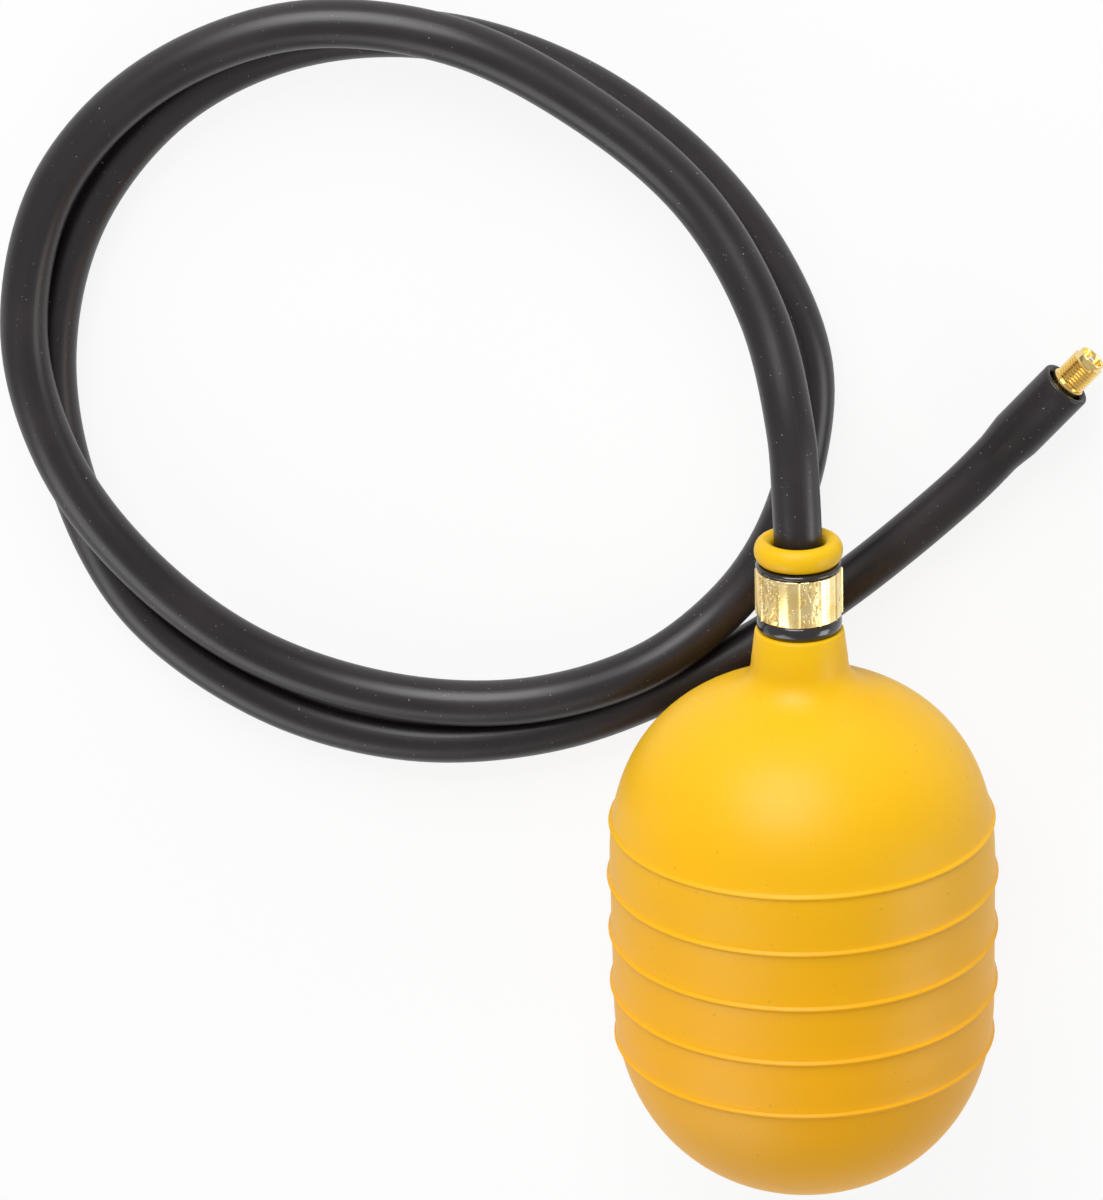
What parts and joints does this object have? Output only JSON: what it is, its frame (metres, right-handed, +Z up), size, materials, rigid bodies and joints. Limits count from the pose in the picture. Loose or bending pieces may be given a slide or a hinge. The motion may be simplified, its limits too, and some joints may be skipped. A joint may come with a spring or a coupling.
{
  "type": "inflatable pipe plug",
  "caption": "Ribbed hollow rubber bladder that swells to seal a pipe, crimped to a long looped inflation hose that ends in a threaded tyre valve.",
  "frame": {"origin": "on the floor under the middle of the bladder's length, which lies on its side, measured without the hose and the valve", "axes": "+Y along the bladder's axis from its blind end to its mouth, where the hose leaves it, +Z up, +X the side on which the valve lies"},
  "size_m": [0.2561, 0.2837, 0.0917],
  "materials": {
    "yellow_rubber": "smooth moulded rubber with a soft sheen",
    "sleeve_rubber": "glossy black rubber",
    "ferrule_brass": "bright brass with crimping marks",
    "hose_rubber": "satin black rubber, faintly drawn along its length",
    "valve_brass": "bright turned brass",
    "gasket_polymer": "matt sealing polymer",
    "pin_steel": "plated, bright"
  },
  "bodies": {
    "plug": {"bladder": "yellow_rubber", "neck_sleeve": "sleeve_rubber", "crimp_ferrule": "ferrule_brass", "hose_insert": "valve_brass", "hose": "hose_rubber", "valve_stem": "valve_brass", "core_plug": "valve_brass", "core_barrel": "valve_brass", "core_gasket": "gasket_polymer", "valve_spring": "pin_steel"},
    "pin": {"valve_pin": "pin_steel", "pin_seal": "hose_rubber", "pin_cup": "valve_brass"}
  },
  "joints": [
    {"name": "pin_press", "type": "slide", "parent": "plug", "child": "pin", "axis": [-0.6412, -0.7515, -0.1553], "range_m": [0, 0.0012], "stiffness_N_per_m": 800, "springref_m": -0.001, "deforming": ["valve_spring"]}
  ]
}
